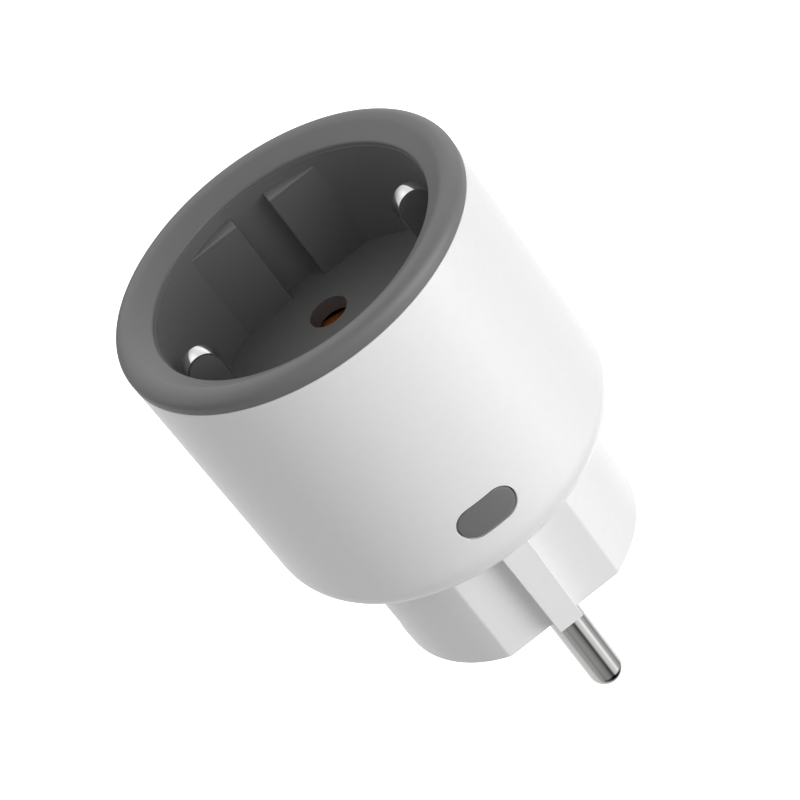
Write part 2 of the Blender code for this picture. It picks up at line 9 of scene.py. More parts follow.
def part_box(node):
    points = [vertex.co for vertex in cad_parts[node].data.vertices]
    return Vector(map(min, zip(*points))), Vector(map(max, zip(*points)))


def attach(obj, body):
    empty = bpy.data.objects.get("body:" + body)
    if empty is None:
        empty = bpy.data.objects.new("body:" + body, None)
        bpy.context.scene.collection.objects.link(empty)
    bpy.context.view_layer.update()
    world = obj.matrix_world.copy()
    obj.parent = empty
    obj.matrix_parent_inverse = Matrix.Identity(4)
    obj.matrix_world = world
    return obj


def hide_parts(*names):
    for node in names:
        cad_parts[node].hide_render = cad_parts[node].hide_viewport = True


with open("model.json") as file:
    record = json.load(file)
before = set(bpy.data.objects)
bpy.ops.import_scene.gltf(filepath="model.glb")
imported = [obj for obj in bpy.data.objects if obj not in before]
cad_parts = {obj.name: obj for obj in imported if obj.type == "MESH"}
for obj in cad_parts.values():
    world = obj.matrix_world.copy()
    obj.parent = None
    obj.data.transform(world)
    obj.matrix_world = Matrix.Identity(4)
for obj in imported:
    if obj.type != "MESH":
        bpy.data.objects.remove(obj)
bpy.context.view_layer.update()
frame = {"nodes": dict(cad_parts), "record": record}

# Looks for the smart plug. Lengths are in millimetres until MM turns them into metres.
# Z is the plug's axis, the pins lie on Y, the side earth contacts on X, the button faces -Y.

MM = 0.001
SIDES = (1, -1)

# Sizes that the CAD nodes give
RIM_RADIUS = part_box("housing_shell")[1].x / MM
CAP_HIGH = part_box("socket_insert")[1].z / MM
CAP_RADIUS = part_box("socket_insert")[1].x / MM
HOUSING_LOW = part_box("housing_shell")[0].z / MM
CLIP_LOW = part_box("earth_clip_right")[0] / MM
BUTTON_LOW, BUTTON_HIGH = (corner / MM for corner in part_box("button_cap"))
BUTTON_HEIGHT = sum(corner.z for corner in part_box("switch_plunger")) / 2 / MM
PIN_LOW, PIN_HIGH = (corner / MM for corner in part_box("pin_neutral"))
PIN_OFFSET = (PIN_LOW.y + PIN_HIGH.y) / 2
BASE_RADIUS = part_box("plug_base")[1].x / MM

# Shapes of the finer pieces
SEAM = 0.04
SEAM_EDGE = 0.10
BAND_HEIGHT = 2.35
HOUSING_FILLET = 5.35
HOUSING_WALL = 1.8
NECK_RADIUS = 18.05
WELL_RADIUS = 19.4
WELL_FLOOR = 43.0
FLOOR_THICKNESS = 2.3
FLOOR_RINGS = (0, 6, 12)
WELL_OUTER_RADIUS = 20.9
WELL_OUTER_HIGH = 53.5
SPIGOT_RADIUS = 22.3
SPIGOT_LOW = 54.5
LIP_HEIGHT = 59.05
LIP_SLOPE = 31.5
LIP_EDGE = 0.5
CREST_RADIUS = 2.4
LEDGE_HEIGHT = 58.45
LEDGE_WIDTH = 0.06
LEDGE_EDGE = 0.04
FACE_FILLET = 1.55
PLUG_RADIUS = 17.93
PLUG_FLAT = 15.7
PLUG_END_EDGE = 0.1
HOLLOW_RADIUS = 14.2
HOLLOW_FLAT = 13.7
HOLLOW_LOW = 3.0
FLANGE_LOW = 20.4
FLANGE_HIGH = 21.9
PLUG_NECK_RADIUS = 17.9
RIB_ROOT = 13.9
RIB_FACE_REACH = 18.0
RIB_HALF_WIDTH = 2.1
RIB_END_HALF_WIDTH = 1.87
RIB_EDGE = 0.16
CONTACT_RECESS_DEPTH = 15.75
CONTACT_RECESS_HALF_WIDTH = 2.95
CONTACT_RECESS_LOW = 2.25
CONTACT_RECESS_EDGE = 0.15
GUIDE_FACE = 16.75
GUIDE_TOP = 57.0
GUIDE_EDGE = 0.28
GUIDE_INTO_WALL = 0.8
CHANNEL_HALF_WIDTH = 2.6
PIN_HOLE_RADIUS = 2.7
PIN_RADIUS = 2.4
PIN_SHANK_HIGH = 9.0
PIN_COLLAR_LOW = 9.3
PIN_COLLAR_HIGH = 10.5
PIN_COLLAR_RADIUS = 3.4
PIN_TAIL_RADIUS = 1.6
HOLE_LEAD = 0.12
CUTTER_MARGIN = 0.6
OPENING_HALF_LENGTH = 4.3
OPENING_HALF_HEIGHT = 2.45
OPENING_EDGE = 0.06
OPENING_PATCH = 4.2
OPENING_RING_SHARES = (0.62, 0.3, 0.1, 0.0)
BUTTON_CLEARANCE = 0.16
BUTTON_EDGE = 0.22
BUTTON_DEPTH = 3.0
BUTTON_FACE_INSETS = (0.8, 1.3, 1.7, 2.0)
BUTTON_LUG_HALF_LENGTH = 5.0
BUTTON_LUG = (-21.7, -20.9)
BUTTON_LUG_EDGE = 0.15
BUTTON_STUD = (20.3, 21.7)
BUTTON_STUD_RADIUS = 1
NECK_EDGE = 0.15
CLIP_BEND = 2.33
CLIP_THICKNESS = 0.3
CLIP_HALF_WIDTH = 1.18
CLIP_MIDDLE = 16.3
CLIP_CENTRE_HEIGHT = 54.05
CLIP_EDGE = 0.05
CLIP_LEG = (51.5, 47.5)
CLIP_LEG_LEAN = 0.2
POST_GAP = 0.01
POST_HALF_WIDTH = 1.2
POST_EDGE = 0.08
EARTH_SLOT = (18.5, 19.05)
EARTH_SLOT_HALF_WIDTH = 1.6
EARTH_SLOT_EDGE = 0.1
SIDE_CONTACT_THICKNESS = 0.8
SIDE_CONTACT_BOW = 0.35
SIDE_CONTACT_BENDS = (16.5, 14.0, 6.0)
SIDE_CONTACT_EDGE = 0.16

TURN_STEPS = 240
SMALL_TURN_STEPS = 96


# ---------------------------------------------------------------- materials


class Finish:
    """A procedural material: a Principled shader with noise in its colour, roughness and bump."""

    def __init__(self, name, colour, roughness, metallic=0.0, coat=0.0, specular=0.5):
        self.made = bpy.data.materials.new(name)
        self.made.use_nodes = True
        self.nodes = self.made.node_tree.nodes
        self.links = self.made.node_tree.links
        self.shader = self.nodes["Principled BSDF"]
        self.shader.inputs["Base Color"].default_value = (*colour, 1)
        self.shader.inputs["Roughness"].default_value = roughness
        self.shader.inputs["Metallic"].default_value = metallic
        self.shader.inputs["Coat Weight"].default_value = coat
        self.shader.inputs["Specular IOR Level"].default_value = specular
        self.place = self.nodes.new("ShaderNodeTexCoord").outputs["Object"]
        self.colour = colour
        self.roughness = roughness

    def noise(self, scale, detail=2.0, stretch=(1, 1, 1)):
        mapping = self.nodes.new("ShaderNodeMapping")
        mapping.inputs["Scale"].default_value = stretch
        self.links.new(self.place, mapping.inputs["Vector"])
        noise = self.nodes.new("ShaderNodeTexNoise")
        noise.inputs["Scale"].default_value = scale
        noise.inputs["Detail"].default_value = detail
        self.links.new(mapping.outputs["Vector"], noise.inputs["Vector"])
        return noise.outputs["Fac"]

    def mottle(self, scale, amount, stretch=(1, 1, 1)):
        """Small changes of brightness over the surface."""
        ramp = self.nodes.new("ShaderNodeMix")
        ramp.data_type = "RGBA"
        ramp.inputs["A"].default_value = (*[c * (1 - amount) for c in self.colour], 1)
        ramp.inputs["B"].default_value = (*[min(c * (1 + amount), 1) for c in self.colour], 1)
        self.links.new(self.noise(scale, 3.0, stretch), ramp.inputs["Factor"])
        self.links.new(ramp.outputs["Result"], self.shader.inputs["Base Color"])
        return self

    def polish(self, scale, amount, stretch=(1, 1, 1)):
        """Small changes of roughness over the surface."""
        spread = self.nodes.new("ShaderNodeMapRange")
        spread.inputs["To Min"].default_value = max(self.roughness - amount, 0.02)
        spread.inputs["To Max"].default_value = self.roughness + amount
        self.links.new(self.noise(scale, 4.0, stretch), spread.inputs["Value"])
        self.links.new(spread.outputs["Result"], self.shader.inputs["Roughness"])
        return self

    def grain(self, scale, depth, stretch=(1, 1, 1)):
        """Fine relief. Depth is in millimetres."""
        bump = self.nodes.new("ShaderNodeBump")
        bump.inputs["Strength"].default_value = 1.0
        bump.inputs["Distance"].default_value = depth * MM
        self.links.new(self.noise(scale, 2.0, stretch), bump.inputs["Height"])
        self.links.new(bump.outputs["Normal"], self.shader.inputs["Normal"])
        return self


def make_finishes():
    def plastic(name, colour, roughness, specular=0.5):
        return Finish(name, colour, roughness, specular=specular).mottle(900, 0.02).polish(400, 0.03)

    def metal(name, colour, roughness, stretch=(1, 1, 1)):
        return Finish(name, colour, roughness, metallic=1.0).mottle(500, 0.03).polish(700, 0.04, stretch)

    finishes = {
        "white_body": plastic("white_satin_plastic", (0.87, 0.87, 0.87), 0.25).grain(5000, 0.0012),
        "dark_grey_plastic": plastic("dark_grey_plastic", (0.172, 0.172, 0.172), 0.45).grain(4200, 0.004),
        "orange_plastic": plastic("orange_plastic", (0.62, 0.17, 0.035), 0.42).grain(3000, 0.003),
        "black_plastic": plastic("black_plastic", (0.022, 0.022, 0.024), 0.5).grain(3500, 0.004),
        "polished_nickel": metal("polished_nickel", (0.70, 0.70, 0.69), 0.13).grain(
            2500, 0.0004, (1, 1, 0.05)
        ),
        "spring_steel": metal("spring_steel", (0.50, 0.50, 0.52), 0.30).grain(3000, 0.001),
        "brass": metal("brass", (0.80, 0.60, 0.28), 0.28).grain(2600, 0.001),
        "tinned_metal": metal("tinned_metal", (0.66, 0.66, 0.68), 0.34).grain(2000, 0.002),
        "circuit_board": Finish("circuit_board", (0.02, 0.15, 0.06), 0.35, coat=0.4)
        .mottle(260, 0.25)
        .grain(1800, 0.004),
        "relay_blue": plastic("relay_blue", (0.04, 0.14, 0.40), 0.38).grain(2500, 0.002),
        "film_yellow": plastic("film_yellow", (0.70, 0.48, 0.08), 0.42).grain(2500, 0.002),
        "capacitor_sleeve": plastic("capacitor_sleeve", (0.03, 0.035, 0.09), 0.30).grain(1500, 0.003),
        "resistor_green": plastic("resistor_green", (0.10, 0.30, 0.18), 0.5).grain(2500, 0.006),
        "clear_plastic": plastic("clear_plastic", (0.80, 0.82, 0.83), 0.25).grain(2500, 0.001),
    }
    finishes["clear_plastic"].shader.inputs["Transmission Weight"].default_value = 0.35
    return {name: finish.made for name, finish in finishes.items()}


# ---------------------------------------------------------------- shape helpers


def arc(centre, radius, start, end, steps):
    points = []
    for step in range(steps + 1):
        angle = math.radians(start + (end - start) * step / steps)
        points.append((centre[0] + radius * math.cos(angle), centre[1] + radius * math.sin(angle)))
    return points


def rows(low, high, spacing):
    """Heights from low to high, both left out, about this far apart."""
    count = max(round(abs(high - low) / spacing), 1)
    return [low + (high - low) * step / count for step in range(1, count)]


def make_object(name, shape, scale=MM):
    bmesh.ops.scale(shape, vec=(scale, scale, scale), verts=shape.verts)
    bmesh.ops.recalc_face_normals(shape, faces=shape.faces)
    mesh = bpy.data.meshes.new(name)
    shape.to_mesh(mesh)
    shape.free()
    obj = bpy.data.objects.new(name, mesh)
    bpy.context.scene.collection.objects.link(obj)
    return obj


def finished(obj, finish, body, replaced, sharp=32):
    """Shades a piece, gives it its finish, and puts it on its body."""
    obj.data.shade_smooth()
    obj.data.set_sharp_from_angle(angle=math.radians(sharp))
    weighted = obj.modifiers.new("weighted_normals", "WEIGHTED_NORMAL")
    weighted.keep_sharp = True
    keep_result(obj)
    obj.data.materials.clear()
    obj.data.materials.append(finish)
    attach(obj, body)
    if replaced:
        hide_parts(*replaced)
    return obj


def revolve(profile, steps=TURN_STEPS, centre=(0, 0), closed=False):
    """Turns (radius, height) points about a vertical axis. Points on the axis become one vertex."""
    shape = bmesh.new()
    rings = []
    for radius, height in profile:
        if radius < 1e-6:
            rings.append([shape.verts.new((centre[0], centre[1], height))] * steps)
            continue
        ring = []
        for step in range(steps):
            angle = math.tau * step / steps
            x = centre[0] + radius * math.cos(angle)
            y = centre[1] + radius * math.sin(angle)
            ring.append(shape.verts.new((x, y, height)))
        rings.append(ring)
    pairs = list(zip(rings, rings[1:]))
    if closed:
        pairs.append((rings[-1], rings[0]))
    for first, second in pairs:
        for step in range(steps):
            after = (step + 1) % steps
            corners = [first[step], first[after], second[after], second[step]]
            corners = [corner for place, corner in enumerate(corners) if corner not in corners[:place]]
            if len(corners) > 2:
                shape.faces.new(corners)
    return shape


def prism(outline, low, high, axis="Z"):
    """Extrudes an outline. Its points are (x, y) for Z, (x, z) for Y and (y, z) for X."""
    places = {
        "Z": lambda a, b, level: (a, b, level),
        "Y": lambda a, b, level: (a, level, b),
        "X": lambda a, b, level: (level, a, b),
    }
    shape = bmesh.new()
    ends = [[shape.verts.new(places[axis](a, b, level)) for a, b in outline] for level in (low, high)]
    shape.faces.new(ends[0])
    shape.faces.new(ends[1][::-1])
    for step in range(len(outline)):
        after = (step + 1) % len(outline)
        shape.faces.new((ends[0][step], ends[1][step], ends[1][after], ends[0][after]))
    bmesh.ops.recalc_face_normals(shape, faces=shape.faces)
    return shape


def round_edges(shape, radius, segments=3, sharper_than=25, chosen=None):
    """Rounds the edges that are sharper than an angle, or only those that a test picks."""
    bmesh.ops.recalc_face_normals(shape, faces=shape.faces)
    shape.edges.ensure_lookup_table()
    edges = [
        edge
        for edge in shape.edges
        if len(edge.link_faces) == 2
        and math.degrees(edge.calc_face_angle()) > sharper_than
        and (chosen is None or chosen(edge))
    ]
    bmesh.ops.bevel(
        shape, geom=edges, offset=radius, segments=segments, profile=0.5, affect="EDGES", clamp_overlap=True
    )
    return shape


def block(x, y, z, radius=0.0, segments=3):
    shape = prism([(x[0], y[0]), (x[1], y[0]), (x[1], y[1]), (x[0], y[1])], z[0], z[1])
    if radius:
        round_edges(shape, radius, segments)
    return shape


def turned(shape, axis, degrees):
    matrix = Matrix.Rotation(math.radians(degrees), 3, axis)
    bmesh.ops.rotate(shape, cent=(0, 0, 0), matrix=matrix, verts=shape.verts)
    return shape


def on_side(shape, side):
    return turned(shape, "Z", 180) if side < 0 else shape


def keep_result(obj):
    """Makes what the object's modifiers give its own mesh."""
    graph = bpy.context.evaluated_depsgraph_get()
    result = bpy.data.meshes.new_from_object(obj.evaluated_get(graph))
    obj.modifiers.clear()
    obj.data = result


def combine(obj, operation, shapes):
    """Adds or cuts shapes by Boolean and keeps the result as the object's mesh."""
    for shape in shapes:
        tool = make_object("tool", shape)
        modifier = obj.modifiers.new("join", "BOOLEAN")
        modifier.operation = operation
        modifier.solver = "EXACT"
        modifier.object = tool
        keep_result(obj)
        bpy.data.objects.remove(tool)
    return obj


def flattened_circle(radius, flat, steps):
    """A circle cut off by two flats that face +Y and -Y."""
    corner = math.degrees(math.asin(flat / radius))
    right = arc((0, 0), radius, -corner, corner, steps)
    left = arc((0, 0), radius, 180 - corner, 180 + corner, steps)
    return right + left


def strip(path, thickness):
    """The outline of bent sheet metal whose middle follows a path of points."""
    points = [Vector(point) for point in path]
    sides = ([], [])
    for index, point in enumerate(points):
        before = points[max(index - 1, 0)]
        after = points[min(index + 1, len(points) - 1)]
        arriving = (point - before if index else after - point).normalized()
        leaving = (after - point if index < len(points) - 1 else point - before).normalized()
        way = (arriving + leaving).normalized()
        across = Vector((-way.y, way.x)) * (thickness / 2) / max(way.dot(leaving), 0.5)
        sides[0].append(tuple(point + across))
        sides[1].append(tuple(point - across))
    return sides[0] + sides[1][::-1]


# ---------------------------------------------------------------- housing


def stadium_reach(angle, half_length, half_height):
    """How far a stadium's outline is from its middle, in a direction."""
    straight = half_length - half_height
    across, up = abs(math.cos(angle)), abs(math.sin(angle))
    if up > 1e-9 and half_height / up * across <= straight:
        return half_height / up
    return straight * across + math.sqrt(half_height**2 - (straight * up) ** 2)


def make_housing(finishes):
    """A turned shell whose grid opens into loops round the button's opening."""
    seam_height = CAP_HIGH - BAND_HEIGHT - SEAM
    fillet_height = HOUSING_LOW + HOUSING_FILLET
    top_radius = CAP_RADIUS

    def radius_at(height):
        share = min(max((height - fillet_height) / (seam_height - fillet_height), 0), 1)
        return RIM_RADIUS + (top_radius - RIM_RADIUS) * share

    patch_low, patch_high = BUTTON_HEIGHT - OPENING_PATCH, BUTTON_HEIGHT + OPENING_PATCH
    patch_rows, patch_columns = 12, 10
    outside = [(top_radius - HOUSING_WALL, seam_height)]
    outside += arc((top_radius - SEAM_EDGE, seam_height - SEAM_EDGE), SEAM_EDGE, 90, 0, 4)
    heights = rows(seam_height - SEAM_EDGE, patch_high, 2.5) + [patch_high]
    step = (patch_high - patch_low) / patch_rows
    heights += [patch_high - step * number for number in range(1, patch_rows + 1)]
    outside += [(radius_at(height), height) for height in heights]
    outside += arc((RIM_RADIUS - HOUSING_FILLET, fillet_height), HOUSING_FILLET, 0, -90, 24)
    outside += arc((NECK_RADIUS + NECK_EDGE, HOUSING_LOW + NECK_EDGE), NECK_EDGE, -90, -180, 4)
    inside = [(NECK_RADIUS, HOUSING_LOW + HOUSING_WALL)]
    inside += arc((RIM_RADIUS - HOUSING_FILLET, fillet_height), HOUSING_FILLET - HOUSING_WALL, -90, 0, 10)
    inside += [(top_radius - HOUSING_WALL, seam_height - 0.5)]
    shape = revolve(outside + inside, closed=True)

    def is_patch(face):
        middle = face.calc_center_median()
        angle = math.degrees(math.atan2(middle.x, -middle.y))
        return (
            abs(angle) < patch_columns * 360 / TURN_STEPS
            and patch_low < middle.z < patch_high
            and math.hypot(middle.x, middle.y) > RIM_RADIUS - 1
        )

    gone = [face for face in shape.faces if is_patch(face)]
    bmesh.ops.delete(shape, geom=gone, context="FACES")
    loop = ordered_loop([edge for edge in shape.edges if edge.is_boundary])
    loops = [loop]
    flat = [unrolled(vert.co) for vert in loop]
    directions = [math.atan2(up, along) for along, up in flat]
    edge = OPENING_EDGE
    for share in OPENING_RING_SHARES:
        ring = []
        for (along, up), angle in zip(flat, directions):
            reach = stadium_reach(angle, OPENING_HALF_LENGTH + edge, OPENING_HALF_HEIGHT + edge)
            near = (reach * math.cos(angle), reach * math.sin(angle))
            at = (near[0] + (along - near[0]) * share, near[1] + (up - near[1]) * share)
            ring.append(shape.verts.new(rolled(at[0], at[1], radius_at(BUTTON_HEIGHT + at[1]))))
        loops.append(ring)
    for turn_step in range(1, 5):
        turned_by = math.radians(90 * turn_step / 4)
        grown, sunk = edge * (1 - math.sin(turned_by)), edge * (1 - math.cos(turned_by))
        loops.append(opening_ring(shape, directions, grown, sunk, radius_at))
    loops.append(opening_ring(shape, directions, 0.0, HOUSING_WALL - 0.05, radius_at))
    for first, second in zip(loops, loops[1:]):
        for index in range(len(first)):
            after = (index + 1) % len(first)
            shape.faces.new((first[index], first[after], second[after], second[index]))
    housing = make_object("housing_body", shape)
    return finished(housing, finishes["white_body"], "root", ["housing_shell"], sharp=40)


def unrolled(point):
    """Distance along the front of the housing and height above the button's middle."""
    return RIM_RADIUS * math.atan2(point.x, -point.y), point.z - BUTTON_HEIGHT


def rolled(along, up, radius):
    angle = along / RIM_RADIUS
    return radius * math.sin(angle), -radius * math.cos(angle), BUTTON_HEIGHT + up


def opening_ring(shape, directions, grown, sunk, radius_at):
    ring = []
    for angle in directions:
        reach = stadium_reach(angle, OPENING_HALF_LENGTH + grown, OPENING_HALF_HEIGHT + grown)
        along, up = reach * math.cos(angle), reach * math.sin(angle)
        ring.append(shape.verts.new(rolled(along, up, radius_at(BUTTON_HEIGHT + up) - sunk)))
    return ring


def ordered_loop(edges):
    """The vertices of a closed chain of edges, one after another."""
    loop = [edges[0].verts[0]]
    left = list(edges)
    while left:
        edge = next(edge for edge in left if loop[-1] in edge.verts)
        left.remove(edge)
        loop.append(edge.other_vert(loop[-1]))
    return loop[:-1]


# ---------------------------------------------------------------- socket


def guide_block(quarter_turn, side):
    """One half of a guide block: the wall beside the channel, filled out to a flat face."""
    radius = WELL_RADIUS + GUIDE_INTO_WALL
    start = math.degrees(math.asin(GUIDE_FACE / radius))
    end = math.degrees(math.acos(CHANNEL_HALF_WIDTH / radius))
    outline = [(CHANNEL_HALF_WIDTH, GUIDE_FACE)] + arc((0, 0), radius, start, end, 20)
    shape = prism(outline, WELL_FLOOR - 0.5, GUIDE_TOP)

    def is_inside_well(edge):
        return min(math.hypot(vert.co.x, vert.co.y) for vert in edge.verts) < WELL_RADIUS

    round_edges(shape, GUIDE_EDGE, 4, chosen=is_inside_well)
    if side < 0:
        bmesh.ops.scale(shape, vec=(-1, 1, 1), verts=shape.verts)
        bmesh.ops.reverse_faces(shape, faces=shape.faces)
    return turned(shape, "Z", quarter_turn)


def earth_post(side):
    """The tongue that backs an earth spring, with a round top."""
    half = CLIP_BEND - CLIP_THICKNESS / 2 - POST_GAP
    outline = [(CLIP_MIDDLE + half, WELL_FLOOR - 0.5)]
    outline += arc((CLIP_MIDDLE, CLIP_CENTRE_HEIGHT), half, 0, 180, 24)
    outline += [(CLIP_MIDDLE - half, WELL_FLOOR - 0.5)]
    shape = prism(outline, -POST_HALF_WIDTH, POST_HALF_WIDTH, "Y")
    return on_side(round_edges(shape, POST_EDGE, 3, sharper_than=60), side)


def pin_hole_cutter(side, low):
    """A round cutter whose mouth flares out, so that the pin hole gets a rounded edge."""
    mouth = PIN_HOLE_RADIUS + HOLE_LEAD
    wide = mouth + CUTTER_MARGIN
    profile = [(0, low), (PIN_HOLE_RADIUS, low), (PIN_HOLE_RADIUS, WELL_FLOOR - HOLE_LEAD)]
    profile += [(mouth - a, b) for a, b in arc((0, WELL_FLOOR - HOLE_LEAD), HOLE_LEAD, 0, 90, 5)][1:]
    profile += [(wide, WELL_FLOOR), (wide, WELL_FLOOR + 1), (0, WELL_FLOOR + 1)]
    return revolve(profile, steps=SMALL_TURN_STEPS, centre=(0, side * PIN_OFFSET))


def make_cap(finishes):
    """The dark ring and the well in one moulding."""
    floor_low = WELL_FLOOR - FLOOR_THICKNESS
    band_low = CAP_HIGH - BAND_HEIGHT
    crest_radius = CAP_RADIUS - FACE_FILLET
    profile = [(radius, WELL_FLOOR) for radius in (*FLOOR_RINGS, WELL_RADIUS)]
    profile += [(WELL_RADIUS, height) for height in rows(WELL_FLOOR, LEDGE_HEIGHT, 1.2)]
    profile += arc((WELL_RADIUS + LEDGE_EDGE, LEDGE_HEIGHT - LEDGE_EDGE), LEDGE_EDGE, 180, 90, 3)
    profile += lip_profile()
    profile += arc((crest_radius, CAP_HIGH - FACE_FILLET), FACE_FILLET, 90, 0, 14)
    profile += arc((CAP_RADIUS - SEAM_EDGE, band_low + SEAM_EDGE), SEAM_EDGE, 0, -90, 4)
    profile += [(SPIGOT_RADIUS, band_low), (SPIGOT_RADIUS, SPIGOT_LOW), (WELL_OUTER_RADIUS, WELL_OUTER_HIGH)]
    profile += [(WELL_OUTER_RADIUS, floor_low), (0, floor_low)]
    cap = make_object("socket_cap", revolve(profile))
    blocks = [guide_block(quarter_turn, side) for quarter_turn in (0, 180) for side in SIDES]
    combine(cap, "UNION", blocks + [earth_post(side) for side in SIDES])
    cutters = [pin_hole_cutter(side, floor_low - 1) for side in SIDES]
    slot_width = (-EARTH_SLOT_HALF_WIDTH, EARTH_SLOT_HALF_WIDTH)
    for side in SIDES:
        slot = block(EARTH_SLOT, slot_width, (floor_low - 1, WELL_FLOOR + 2), EARTH_SLOT_EDGE)
        cutters.append(on_side(slot, side))
    combine(cap, "DIFFERENCE", cutters)
    slot_name = "dark_grey_plastic"
    return finished(cap, finishes[slot_name], "root", ["socket_insert"], sharp=36)


def lip_profile():
    """The sloping mouth of the well, from the ledge that the well's wall ends in to the crest of the ring."""
    crest = arc((CAP_RADIUS - FACE_FILLET, CAP_HIGH - CREST_RADIUS), CREST_RADIUS, 90 + LIP_SLOPE, 90, 12)
    slope = math.radians(LIP_SLOPE)
    radius = WELL_RADIUS + LEDGE_WIDTH
    middle = LIP_HEIGHT - LIP_EDGE * (1 / math.cos(slope) - math.tan(slope))
    edge = arc((radius + LIP_EDGE, middle), LIP_EDGE, 180, 90 + LIP_SLOPE, 6)
    start = Vector(edge[-1])
    end = Vector(crest[0])
    between = [tuple(start.lerp(end, share / 4)) for share in (1, 2, 3)]
    return [(radius, LEDGE_HEIGHT)] + edge + between + crest[:-1]


# ---------------------------------------------------------------- earth springs and pins


def make_earth_clip(finishes, name, side):
    """A bright spring in the well, bent over its post."""
    near = CLIP_MIDDLE - CLIP_BEND
    path = [(CLIP_MIDDLE + CLIP_BEND, CLIP_LOW.z + 0.3)]
    path += arc((CLIP_MIDDLE, CLIP_CENTRE_HEIGHT), CLIP_BEND, 0, 180, 36)
    path += [(near, CLIP_LEG[0]), (near + CLIP_LEG_LEAN, CLIP_LEG[1])]
    shape = prism(strip(path, CLIP_THICKNESS), -CLIP_HALF_WIDTH, CLIP_HALF_WIDTH, "Y")
    round_edges(shape, CLIP_EDGE, 3, sharper_than=60)
    clip = make_object(f"earth_spring_{name}", on_side(shape, side))
    finished(clip, finishes["polished_nickel"], "root", [f"earth_clip_{name}"], sharp=20)


def make_side_contact(finishes, name, side):
    """A bowed earth strip in the side of the plug base."""
    replaced = f"plug_earth_contact_{name}"
    low, high = (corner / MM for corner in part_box(replaced))
    high_bend, bow_high, bow_low = SIDE_CONTACT_BENDS
    out = max(abs(low.x), abs(high.x)) - SIDE_CONTACT_THICKNESS / 2
    flat = out - SIDE_CONTACT_BOW
    path = [(flat, high.z), (flat, high_bend), (out, bow_high), (out, bow_low), (flat, low.z + 0.05)]
    shape = prism(strip(path, SIDE_CONTACT_THICKNESS), low.y, high.y, "Y")
    round_edges(shape, SIDE_CONTACT_EDGE, 3, sharper_than=60)
    contact = make_object(f"side_contact_{name}", on_side(shape, side))
    finished(contact, finishes["polished_nickel"], "root", [replaced])


def make_pins(finishes):
    """Round pins with a collar and a tail inside the base."""
    round_high = PIN_LOW.z + PIN_RADIUS
    profile = arc((0, round_high), PIN_RADIUS, -90, 0, 24)
    profile += [(PIN_RADIUS, height) for height in rows(round_high, PIN_SHANK_HIGH, 3)]
    profile += [(PIN_RADIUS, PIN_COLLAR_LOW), (PIN_COLLAR_RADIUS, PIN_COLLAR_LOW)]
    profile += [(PIN_COLLAR_RADIUS, PIN_COLLAR_HIGH), (PIN_TAIL_RADIUS, PIN_COLLAR_HIGH)]
    profile += [(PIN_TAIL_RADIUS, PIN_HIGH.z), (0, PIN_HIGH.z)]
    for name, side in (("pin_line", -1), ("pin_neutral", 1)):
        shape = revolve(profile, steps=SMALL_TURN_STEPS, centre=(0, side * PIN_OFFSET))
        pin = make_object(f"contact_{name}", shape)
        finished(pin, finishes["polished_nickel"], "root", [name])


# ---------------------------------------------------------------- plug base


def make_base(finishes):
    """The plug body with its ribs and flange, hollow inside."""
    outline = flattened_circle(PLUG_RADIUS, PLUG_FLAT, 72)
    shape = prism(outline, 0, HOUSING_LOW + 0.5)

    def is_at_end(edge):
        return all(vert.co.z < 1 for vert in edge.verts)

    round_edges(shape, PLUG_END_EDGE, 3, sharper_than=60, chosen=is_at_end)
    base = make_object("plug_body", shape)
    neck = [(0, FLANGE_HIGH), (BASE_RADIUS, FLANGE_HIGH), (BASE_RADIUS, FLANGE_LOW)]
    neck += [(PLUG_NECK_RADIUS, FLANGE_LOW), (PLUG_NECK_RADIUS, HOUSING_LOW), (0, HOUSING_LOW)]
    combine(base, "UNION", [make_rib(side) for side in SIDES] + [revolve(neck)])
    cutters = [hole_through_base(side) for side in SIDES]
    recess_width = (-CONTACT_RECESS_HALF_WIDTH, CONTACT_RECESS_HALF_WIDTH)
    recess_heights = (CONTACT_RECESS_LOW, HOUSING_LOW + 8)
    for side in SIDES:
        recess = block((CONTACT_RECESS_DEPTH, 21), recess_width, recess_heights, CONTACT_RECESS_EDGE)
        cutters.append(on_side(recess, side))
    cutters.append(prism(flattened_circle(HOLLOW_RADIUS, HOLLOW_FLAT, 48), HOLLOW_LOW, 30))
    combine(base, "DIFFERENCE", cutters)
    return finished(base, finishes["white_body"], "root", ["plug_base"], sharp=36)


def make_rib(side):
    """The guide rib on a flat, a little narrower at the end face."""
    rib = block((-1, 1), (RIB_ROOT, RIB_FACE_REACH), (0, HOUSING_LOW + 0.3))
    for vert in rib.verts:
        vert.co.x *= RIB_HALF_WIDTH if vert.co.z > 1 else RIB_END_HALF_WIDTH

    def is_outside(edge):
        return max(vert.co.y for vert in edge.verts) > PLUG_FLAT

    round_edges(rib, RIB_EDGE, 3, sharper_than=40, chosen=is_outside)
    return on_side(rib, side)


def hole_through_base(side):
    """The bore round a pin, with a small rounded mouth on the end face."""
    radius = PIN_RADIUS + 0.05
    mouth = radius + HOLE_LEAD
    wide = mouth + CUTTER_MARGIN
    profile = [(0, -1), (wide, -1), (wide, 0)]
    profile += [(mouth - a, b) for a, b in arc((0, HOLE_LEAD), HOLE_LEAD, -90, 0, 5)]
    profile += [(radius, 20), (0, 20)]
    return revolve(profile, steps=SMALL_TURN_STEPS, centre=(0, side * PIN_OFFSET))


# ---------------------------------------------------------------- button


